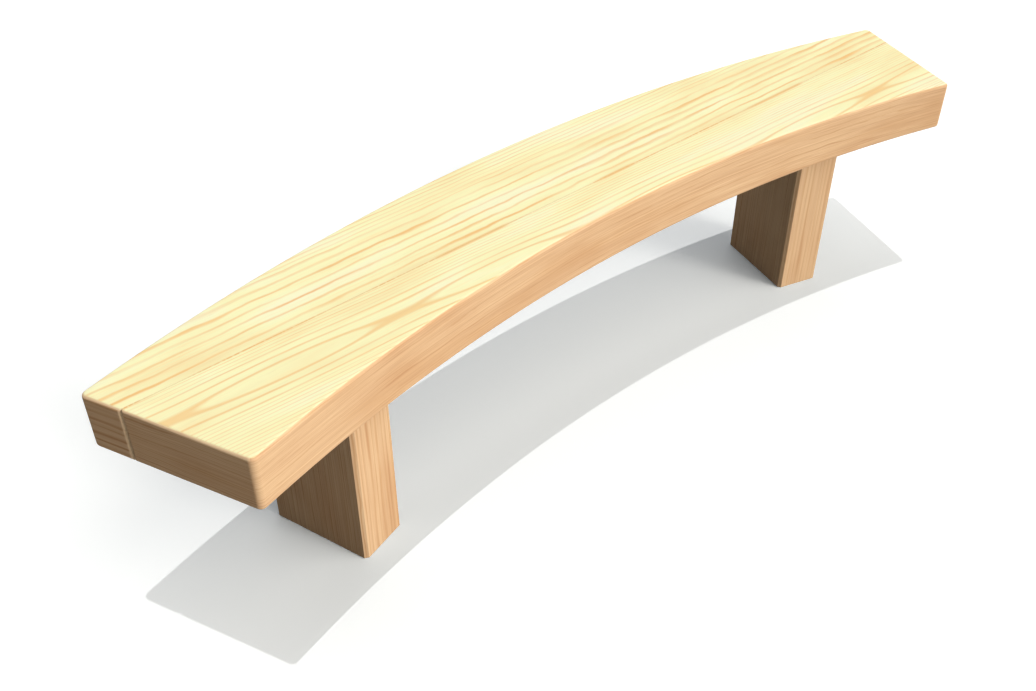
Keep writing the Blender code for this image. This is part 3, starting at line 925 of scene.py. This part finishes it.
def make_plank(name, material):
    """One seat plank, rounded along every edge but those of the seam."""
    scene = bpy.context.scene
    seat, fixing = scene.bench_seat, scene.bench_fixing
    sign = PLANKS[name]
    radius = seat.outer_radius if sign > 0 else seat.outer_radius - seat.depth
    seam_y = sign * FIT / 2
    shape = extruded(plank_outline(seat, radius, seam_y), SEAT_UNDERSIDE, SEAT_TOP)
    rounded = []
    for edge in shape.edges:
        first, last = (vert.co for vert in edge.verts)
        upright = abs(first.z - last.z) > SAME_PLACE
        on_seam = max(abs(first.y - seam_y), abs(last.y - seam_y)) < SAME_PLACE
        if upright == on_seam:
            rounded.append(edge)
    bevelled(shape, rounded, seat.edge_round, ROUND_STEPS)
    tools = [seam_dowel_hole(dowel) for dowel in SEAM_DOWELS]
    for side in SIDES:
        tools.append(insert_hole(f"insert_{side}_{name}", fixing))
        tools.append(dowel_hole(f"leg_dowel_{side}_{name}"))
    piece = stand(f"{name}_plank", carved(mesh_of(f"{name}_plank", shape), tools))
    return finish_piece(piece, f"seat_{name}_plank", material)


def make_leg(side, material):
    """One block leg, chamfered down its upright edges and eased round its foot."""
    leg = bpy.context.scene.bench_leg
    node = "leg_" + side
    low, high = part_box(node)
    middle = mean_place(node)
    shape = extruded(leg_outline(leg), low.z, high.z)
    foot = [edge for edge in shape.edges if max(vert.co.z for vert in edge.verts) < low.z + SAME_PLACE]
    bevelled(shape, foot, leg.foot_easing, 1)
    place = Vector((middle.x, middle.y, 0))
    turn = (0, 0, -SIDES[side] * leg.turn)
    tools = []
    for plank in PLANKS:
        tools.append(rod_hole(side, plank, leg))
        tools.append(dowel_hole(f"leg_dowel_{side}_{plank}"))
    mesh = carved(mesh_of(f"{side}_leg", shape), tools, place, turn)
    return finish_piece(stand(f"{side}_leg", mesh, place, turn), node, material)


def upright_copies(kind, mesh, material):
    """Stand one mesh at each of the four places of a kind of fixing."""
    for side in SIDES:
        for plank in PLANKS:
            node = f"{kind}_{side}_{plank}"
            middle = mean_place(node)
            piece = stand(f"{kind}.{side}.{plank}", mesh, (middle.x, middle.y, 0))
            finish_piece(piece, node, material)


def fluted_dowel(name, radius, bottom, top):
    """A beech dowel with glue grooves along it."""
    fixing = bpy.context.scene.bench_fixing
    profile = chamfered_profile(radius, radius - fixing.dowel_chamfer, fixing.dowel_chamfer, bottom, top)
    return turned(name, profile, 4 * fixing.dowel_flutes, fixing.dowel_flutes, fixing.flute_depth)


def rod_thread(name, bottom, top, room=0.0, chamfer=0.0):
    """The thread of the rods, or of what takes them with some room round it."""
    fixing = bpy.context.scene.bench_fixing
    radius = half_width("rod_left_outer") + room
    return threaded(name, radius, fixing.thread_depth, fixing.pitch, bottom, top, chamfer)


def bored_for_rod(body, low, high, operation, shaping):
    """A nut's or an insert's body after it is shaped by a mesh and threaded through for its rod."""
    room = bpy.context.scene.bench_fixing.thread_clearance
    bore = rod_thread("bore", low.z - OVERRUN, high.z + OVERRUN, room)
    return carved(body, [(operation, shaping), ("DIFFERENCE", bore)])


# Operators


class BenchOperator(bpy.types.Operator):
    """Base of the bench's operators."""

    bl_options = {"REGISTER", "UNDO"}


class BENCH_OT_outer_plank(BenchOperator):
    """Make the plank on the seat's convex side, with straight grain on top"""

    bl_idname = "bench.outer_plank"
    bl_label = "Outer Plank"

    def execute(self, context):
        timber = context.scene.bench_timber
        top = rings_about(
            (0, -0.3019, SEAT_TOP),
            timber.outer_spacing,
            slow_from=0.441,
            slow_spacing=timber.outer_spacing / 2,
            slow_strength=0.85,
            ripple=0.65,
            ripple_scale=(11, 18, 18),
            widen=1.0,
        )
        side = rings_about(
            (0, 0, 0.90), timber.outer_side_spacing, ripple=1.0, ripple_scale=(6.5, 9, 22), uneven=1.2
        )
        make_plank("outer", timber_material("outer_plank_softwood", timber, top, side, 2.0))
        return {"FINISHED"}


class BENCH_OT_inner_plank(BenchOperator):
    """Make the plank on the seat's concave side, flat sawn, with long arches on top"""

    bl_idname = "bench.inner_plank"
    bl_label = "Inner Plank"

    def execute(self, context):
        timber = context.scene.bench_timber
        top = rings_about(
            (0, -0.101, SEAT_TOP - 0.0180),
            timber.inner_spacing,
            lean=(0, -0.036, 0),
            wave=(0, 0, 0.0047),
            wave_length=0.4,
            slow_from=0.05,
            slow_spacing=timber.inner_spacing * 0.51,
            slow_strength=0.75,
            ripple=0.3,
            crest=1.0,
            widen=0.25,
        )
        side = rings_about(
            (0, -0.15, 0.90),
            timber.inner_side_spacing,
            slow_from=0.0,
            slow_strength=0.8,
            ripple=2.4,
            ripple_scale=(6.5, 3, 22),
            uneven=2.0,
            widen=0.4,
        )
        make_plank("inner", timber_material("inner_plank_softwood", timber, top, side, 7.0))
        return {"FINISHED"}


class BENCH_OT_legs(BenchOperator):
    """Make both block legs, with upright grain"""

    bl_idname = "bench.legs"
    bl_label = "Legs"

    def execute(self, context):
        timber = context.scene.bench_timber
        for side, sign in SIDES.items():
            narrow = rings_about(
                (0, 0, -0.5 * sign),
                timber.leg_spacing,
                slow_from=0.0,
                slow_strength=0.85 - 0.15 * sign,
                ripple=0.6,
                uneven=1.1,
            )
            broad = rings_about((0, 0.5, 0), timber.leg_broad_spacing, ripple=1.2, uneven=2.0)
            name = f"{side}_leg_softwood"
            make_leg(side, timber_material(name, timber, narrow, broad, 11.0 + sign, upright=True))
        return {"FINISHED"}


class BENCH_OT_dowels(BenchOperator):
    """Make the beech dowels of the seam and of the legs"""

    bl_idname = "bench.dowels"
    bl_label = "Dowels"

    def execute(self, context):
        wood = shared_material(beech)
        radius, reach = seam_dowel_size()
        seam_mesh = fluted_dowel("seam_dowel", radius, -reach, reach)
        for node in SEAM_DOWELS:
            piece = stand(node.replace("_", "."), seam_mesh, mean_place(node), ALONG_Y)
            finish_piece(piece, node, wood)
        low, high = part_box("leg_dowel_left_outer")
        leg_mesh = fluted_dowel("leg_dowel", half_width("leg_dowel_left_outer"), low.z, high.z)
        upright_copies("leg_dowel", leg_mesh, wood)
        return {"FINISHED"}


class BENCH_OT_rods(BenchOperator):
    """Make the threaded steel rods that draw the legs against the seat"""

    bl_idname = "bench.rods"
    bl_label = "Rods"

    def execute(self, context):
        low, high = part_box("rod_left_outer")
        mesh = rod_thread("rod", low.z, high.z, chamfer=context.scene.bench_fixing.end_chamfer)
        upright_copies("rod", mesh, shared_material(zinc_plate))
        return {"FINISHED"}


class BENCH_OT_inserts(BenchOperator):
    """Make the threaded inserts that the rods screw into"""

    bl_idname = "bench.inserts"
    bl_label = "Inserts"

    def execute(self, context):
        fixing = context.scene.bench_fixing
        low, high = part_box("insert_left_outer")
        flange = half_width("insert_left_outer")
        barrel = flange - fixing.insert_flange_width
        depth = fixing.insert_thread
        body = threaded("insert", barrel, depth, fixing.insert_pitch, low.z + FIT, high.z, depth)
        disc_top = low.z + fixing.insert_flange
        disc = turned("insert_disc", solid_profile((flange, low.z), (flange, disc_top)))
        mesh = bored_for_rod(body, low, high, "UNION", disc)
        upright_copies("insert", mesh, shared_material(cast_zinc))
        return {"FINISHED"}


class BENCH_OT_washers(BenchOperator):
    """Make the wide washers, rolled along the edge that the punch met"""

    bl_idname = "bench.washers"
    bl_label = "Washers"

    def execute(self, context):
        rolled = context.scene.bench_fixing.washer_round
        low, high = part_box("washer_left_outer")
        bore = half_width("rod_left_outer") + FIT
        rim = half_width("washer_left_outer")
        profile = [(bore, low.z + rolled), (bore + rolled, low.z)]
        for step in range(CORNER_STEPS + 1):
            angle = math.pi / 2 * step / CORNER_STEPS
            out, down = rolled * math.sin(angle), rolled * math.cos(angle)
            profile.append((rim - rolled + out, low.z + rolled - down))
        profile += [(rim, high.z), (bore, high.z)]
        upright_copies("washer", turned("washer", profile), shared_material(zinc_plate))
        return {"FINISHED"}


class BENCH_OT_nuts(BenchOperator):
    """Make the hexagon nuts, chamfered at both ends and threaded through"""

    bl_idname = "bench.nuts"
    bl_label = "Nuts"

    def execute(self, context):
        fixing = context.scene.bench_fixing
        low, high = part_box("nut_left_outer")
        flat_radius = fixing.across_flats / 2
        corner_radius = flat_radius / math.cos(math.pi / HEX_STEPS)
        face_radius = flat_radius * NUT_FACE_SHARE
        slope = (corner_radius - face_radius) * math.tan(fixing.nut_chamfer)
        bar = turned("nut", solid_profile((corner_radius, low.z), (corner_radius, high.z)), HEX_STEPS)
        profile = chamfered_profile(corner_radius + FIT, face_radius, slope, low.z, high.z)
        mesh = bored_for_rod(bar, low, high, "INTERSECT", turned("nut_barrel", profile))
        upright_copies("nut", mesh, shared_material(zinc_plate))
        return {"FINISHED"}


# Stage


def under_a_foot(wiring, leg):
    """A mask of the floor that the feet cover, which is left open so that light reaches them from below."""
    middle = mean_place("leg_right")
    x, y = wiring.split(wiring.signals("ShaderNodeNewGeometry")["Position"])[:2]
    spoke = wiring.vector("SUBTRACT", wiring.joined(abs(x), y, 0), (middle.x, middle.y, 0))
    turning = {"Vector": spoke, "Angle": leg.turn}
    spoke = wiring.signals("ShaderNodeVectorRotate", turning, rotation_type="Z_AXIS")["Vector"]
    from_x, from_y = wiring.split(spoke)[:2]
    narrow = wiring.maths("LESS_THAN", abs(from_x), leg.thickness / 2 - FOOT_COVER)
    return narrow * wiring.maths("LESS_THAN", abs(from_y), leg.depth / 2 - FOOT_COVER)


def floor_material(studio):
    """A pale floor that keeps shadows and isn't there from below or under a foot."""
    made, wiring, shader = blank_material("studio_floor")
    ray = wiring.signals("ShaderNodeLightPath")
    seen = wiring.maths("MAXIMUM", ray["Is Camera Ray"], ray["Is Glossy Ray"])
    shade = wiring.ramp(seen, 0, 1, studio.floor_bounce, studio.floor_seen, smooth=False)
    wiring.feed(shader.inputs["Base Color"], wiring.scaled(studio.floor_tint, shade))
    shader.inputs["Roughness"].default_value = 1.0
    shader.inputs["Specular IOR Level"].default_value = 0.0
    clear = wiring.signals("ShaderNodeBsdfTransparent")["BSDF"]
    below = wiring.signals("ShaderNodeNewGeometry")["Backfacing"]
    open_floor = wiring.maths("MAXIMUM", below, under_a_foot(wiring, bpy.context.scene.bench_leg))
    sides = {0: open_floor, 1: Signal(wiring, shader.outputs["BSDF"]), 2: clear}
    sided = wiring.signals("ShaderNodeMixShader", sides)["Shader"]
    wiring.feed(made.node_tree.nodes["Material Output"].inputs["Surface"], sided)
    return made


def studio_world(studio):
    """Soft light from all round, more of it from below, and a white background for camera and reflections."""
    world = bpy.data.worlds.new("studio")
    world.use_nodes = True
    bpy.context.scene.world = world
    wiring = Wiring(world.node_tree)
    ray = wiring.signals("ShaderNodeLightPath")
    seen = wiring.maths("MAXIMUM", ray["Is Camera Ray"], ray["Is Glossy Ray"])
    seen = wiring.maths("MAXIMUM", seen, ray["Is Transmission Ray"])
    up = wiring.split(wiring.signals("ShaderNodeTexCoord")["Generated"])[2]
    dome = wiring.maths("LESS_THAN", up, 0.0) * studio.under_level + studio.sky_level
    background = world.node_tree.nodes["Background"]
    wiring.feed(background.inputs["Color"], wiring.blend(seen, tuple(studio.sky_tint), (1.0, 1.0, 1.0)))
    wiring.feed(background.inputs["Strength"], dome * (1.0 - seen) + seen)


def sun(name, towards, level, angle, tint=(1.0, 1.0, 1.0)):
    """A far lamp that stands towards a direction. At level 1 a white surface that faces it is white."""
    lamp = bpy.data.lights.new(name, "SUN")
    lamp.energy = level * math.pi
    lamp.color = tint
    lamp.angle = angle
    return stand(name, lamp, turn=towards.to_track_quat("Z", "Y").to_euler())


class BENCH_OT_stage(BenchOperator):
    """Make the floor, the lamps, the soft light and the camera"""

    bl_idname = "bench.stage"
    bl_label = "Stage"

    def execute(self, context):
        studio = context.scene.bench_studio
        shape = bmesh.new()
        bmesh.ops.create_circle(shape, cap_ends=True, segments=TURN_STEPS, radius=studio.floor_size)
        floor = stand("floor", mesh_of("floor", shape))
        floor.data.materials.append(floor_material(studio))
        studio_world(studio)
        sun("key_lamp", Vector((0, 0, 1)), studio.key_level, studio.key_angle)
        soft_lamps = {
            "fill": (studio.fill_turn, studio.fill_tint),
            "low": (studio.fill_turn, studio.fill_tint),
            "back": (studio.back_turn, studio.sky_tint),
        }
        for name, (turn, tint) in soft_lamps.items():
            level, rise, angle = (getattr(studio, f"{name}_{part}") for part in ("level", "rise", "angle"))
            flat = Vector((math.sin(turn), -math.cos(turn), 0))
            sun(f"{name}_lamp", flat * math.cos(rise) + Vector((0, 0, math.sin(rise))), level, angle, tint)
        lens = bpy.data.cameras.new("camera")
        lens.lens = studio.lens
        sight = Vector(studio.camera_aim) - Vector(studio.camera_place)
        look = sight.to_track_quat("-Z", "Y").to_euler()
        context.scene.camera = stand("camera", lens, studio.camera_place, look)
        context.scene.view_settings.view_transform = "Standard"
        return {"FINISHED"}


MAKERS = (
    BENCH_OT_stage,
    BENCH_OT_outer_plank,
    BENCH_OT_inner_plank,
    BENCH_OT_legs,
    BENCH_OT_dowels,
    BENCH_OT_rods,
    BENCH_OT_inserts,
    BENCH_OT_washers,
    BENCH_OT_nuts,
)


class BENCH_PT_panel(bpy.types.Panel):
    """The bench's operators and settings"""

    bl_idname = "BENCH_PT_panel"
    bl_label = "Curved Garden Bench"
    bl_space_type = "VIEW_3D"
    bl_region_type = "UI"
    bl_category = "Bench"

    def draw(self, context):
        for maker in MAKERS:
            self.layout.operator(maker.bl_idname)
        for name, settings in SETTINGS.items():
            box = self.layout.box()
            for prop in settings.__annotations__:
                box.prop(getattr(context.scene, name), prop)


def register():
    """Make the settings, the operators and the panel known."""
    for settings in SETTINGS.values():
        bpy.utils.register_class(settings)
    for name, settings in SETTINGS.items():
        setattr(bpy.types.Scene, name, PointerProperty(type=settings))
    for maker in MAKERS:
        bpy.utils.register_class(maker)
    bpy.utils.register_class(BENCH_PT_panel)


def unregister():
    """Take them away again."""
    bpy.utils.unregister_class(BENCH_PT_panel)
    for maker in reversed(MAKERS):
        bpy.utils.unregister_class(maker)
    for name in SETTINGS:
        delattr(bpy.types.Scene, name)
    for settings in reversed(SETTINGS.values()):
        bpy.utils.unregister_class(settings)


def main():
    register()
    for maker in MAKERS:
        area, action = maker.bl_idname.split(".")
        getattr(getattr(bpy.ops, area), action)()


if __name__ == "__main__":
    main()
